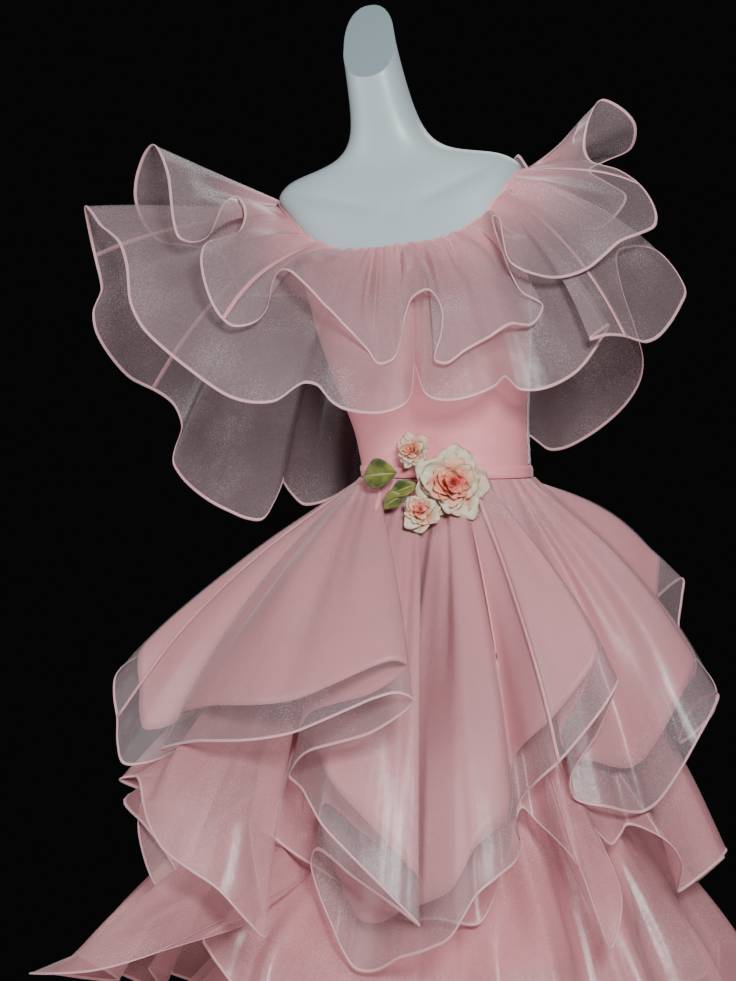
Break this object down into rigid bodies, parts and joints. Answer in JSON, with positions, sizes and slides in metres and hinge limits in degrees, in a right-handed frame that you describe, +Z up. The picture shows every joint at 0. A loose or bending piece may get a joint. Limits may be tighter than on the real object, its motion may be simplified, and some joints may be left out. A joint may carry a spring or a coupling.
{
  "type": "ball gown on a limbless dress form",
  "caption": "Floor-length ball gown with cascading sheer flounces, a wide ruffled off-shoulder neckline and a waist spray, standing on a limbless dress form.",
  "frame": {"origin": "centre of the stand base's underside, on the floor below the waist", "axes": "+Z up, the gown's front faces -Y, +X is towards the gown's left shoulder, on the viewer's right"},
  "size_m": [1.2046, 1.2011, 1.7408],
  "materials": {
    "satin": "pink satin, soft sheen",
    "organza": "sheer pink organza with a satin bound edge",
    "form_shell": "smooth pale blue-grey satin lacquer",
    "stand_metal": "brushed",
    "petal": "matt cream petals with coral hearts",
    "leaf": "matt olive green"
  },
  "bodies": {
    "root": {"form_torso": "form_shell", "form_pole": "stand_metal", "form_base": "stand_metal", "bodice_front": "satin", "bodice_back_left": "satin", "bodice_back_right": "satin", "waistband": "satin", "neck_casing": "satin", "underskirt": "satin", "flounce_1": "organza", "flounce_1_lining": "satin", "flounce_2": "organza", "flounce_3": "organza", "flounce_4": "organza", "ruffle_upper": "organza", "ruffle_lower": "organza", "rose_large": "petal", "rose_upper": "petal", "rose_lower": "petal", "leaf_1": "leaf", "leaf_2": "leaf", "leaf_3": "leaf"}
  },
  "joints": []
}
